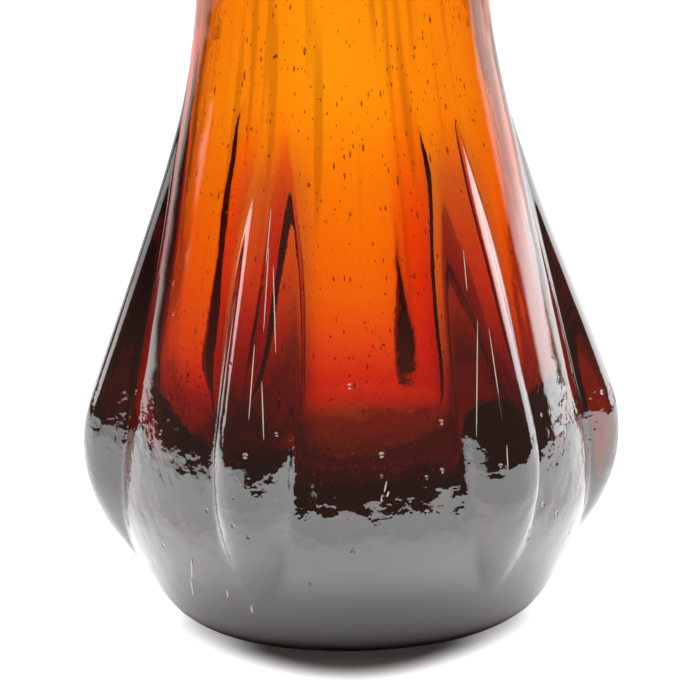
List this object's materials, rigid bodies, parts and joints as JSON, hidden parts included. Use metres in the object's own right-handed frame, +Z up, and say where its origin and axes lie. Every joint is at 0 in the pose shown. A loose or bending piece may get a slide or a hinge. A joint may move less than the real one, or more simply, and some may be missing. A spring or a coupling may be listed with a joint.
{
  "type": "gourd vase",
  "caption": "Hand-blown gourd-shaped glass vase with a heavy base, applied vertical ribs round the lower body, a narrow waist and an open mouth for cut flowers.",
  "frame": {"origin": "centre of the foot, on the surface that the vase stands on", "axes": "+Z up along the vase's axis, -Y towards the front as pictured"},
  "size_m": [0.19, 0.1776, 0.342],
  "materials": {
    "vessel_glass": "seeded amber glass, fire-polished",
    "rib_glass": "thick seeded amber glass, fire-polished"
  },
  "bodies": {
    "root": {"vessel": "vessel_glass", "rib_1": "rib_glass", "rib_2": "rib_glass", "rib_3": "rib_glass", "rib_4": "rib_glass", "rib_5": "rib_glass", "rib_6": "rib_glass"}
  },
  "joints": []
}
